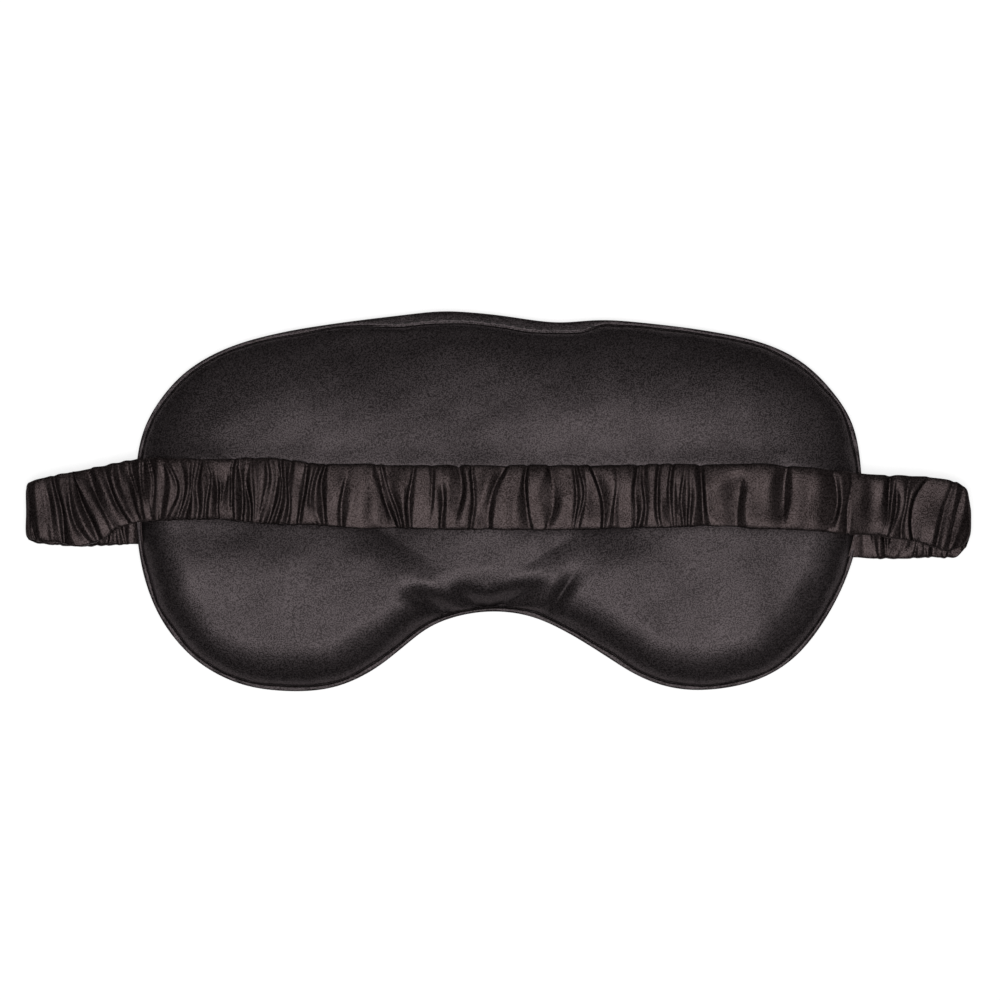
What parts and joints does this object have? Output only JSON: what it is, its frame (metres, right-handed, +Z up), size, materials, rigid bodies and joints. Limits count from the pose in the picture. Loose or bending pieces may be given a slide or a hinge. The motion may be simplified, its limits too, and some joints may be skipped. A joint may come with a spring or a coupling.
{
  "type": "sleep eye mask",
  "caption": "Padded satin sleep mask with a nose notch, lying face side up, and a gathered elastic head strap folded across it.",
  "frame": {"origin": "centre of the overall box, on the surface the mask rests on", "axes": "+X across the mask from one side seam to the other, +Y towards the forehead edge, +Z up out of the face side"},
  "size_m": [0.272, 0.109, 0.0127],
  "materials": {
    "face_satin": "black satin weave with a soft sheen, padded side worn against the face",
    "front_satin": "black satin weave with a soft sheen",
    "strap_satin": "gathered black satin, brownish sheen",
    "polyester_wadding": "soft white fibre wadding",
    "opaque_lining": "matt black opaque lining",
    "sewing_thread": "spun black thread",
    "elastic_webbing": "ribbed woven elastic"
  },
  "bodies": {
    "mask": {"face_panel": "face_satin", "front_panel": "front_satin", "face_wadding": "polyester_wadding", "front_wadding": "polyester_wadding", "light_block_liner": "opaque_lining", "perimeter_seam": "sewing_thread", "closing_stitches": "sewing_thread", "strap_tab_left": "strap_satin", "elastic_tab_left": "elastic_webbing", "strap_tack_left": "sewing_thread", "strap_tab_right": "strap_satin", "elastic_tab_right": "elastic_webbing", "strap_tack_right": "sewing_thread"},
    "strap_end_left": {"casing_end_left": "strap_satin", "elastic_end_left": "elastic_webbing"},
    "strap_run_left": {"casing_run_left": "strap_satin", "elastic_run_left": "elastic_webbing"},
    "strap_band_left": {"casing_band_left": "strap_satin", "elastic_band_left": "elastic_webbing"},
    "strap_end_right": {"casing_end_right": "strap_satin", "elastic_end_right": "elastic_webbing"},
    "strap_run_right": {"casing_run_right": "strap_satin", "elastic_run_right": "elastic_webbing"},
    "strap_band_right": {"casing_band_right": "strap_satin", "elastic_band_right": "elastic_webbing"}
  },
  "joints": [
    {"name": "strap_lift_left", "type": "hinge", "parent": "mask", "child": "strap_end_left", "pos_m": [-0.1053, -0.006, 0.0034], "axis": [0, 1, 0], "range_deg": [0, 85]},
    {"name": "strap_fold_left", "type": "hinge", "parent": "strap_end_left", "child": "strap_run_left", "pos_m": [-0.136, -0.0043, 0.0051], "axis": [0, 1, 0], "range_deg": [-170, 0]},
    {"name": "strap_level_left", "type": "hinge", "parent": "strap_run_left", "child": "strap_band_left", "pos_m": [-0.1053, -0.0013, 0.0068], "axis": [0, 1, 0], "range_deg": [0, 85]},
    {"name": "strap_lift_right", "type": "hinge", "parent": "mask", "child": "strap_end_right", "pos_m": [0.1053, -0.006, 0.0034], "axis": [0, -1, 0], "range_deg": [0, 85]},
    {"name": "strap_fold_right", "type": "hinge", "parent": "strap_end_right", "child": "strap_run_right", "pos_m": [0.136, -0.0043, 0.0051], "axis": [0, -1, 0], "range_deg": [-170, 0]},
    {"name": "strap_level_right", "type": "hinge", "parent": "strap_run_right", "child": "strap_band_right", "pos_m": [0.1053, -0.0013, 0.0068], "axis": [0, -1, 0], "range_deg": [0, 85]}
  ],
  "couplings": [
    {"joint": "strap_fold_left", "follows": "strap_lift_left", "ratio": -2},
    {"joint": "strap_level_left", "follows": "strap_lift_left", "ratio": 1},
    {"joint": "strap_lift_right", "follows": "strap_lift_left", "ratio": 1},
    {"joint": "strap_fold_right", "follows": "strap_lift_left", "ratio": -2},
    {"joint": "strap_level_right", "follows": "strap_lift_left", "ratio": 1}
  ]
}
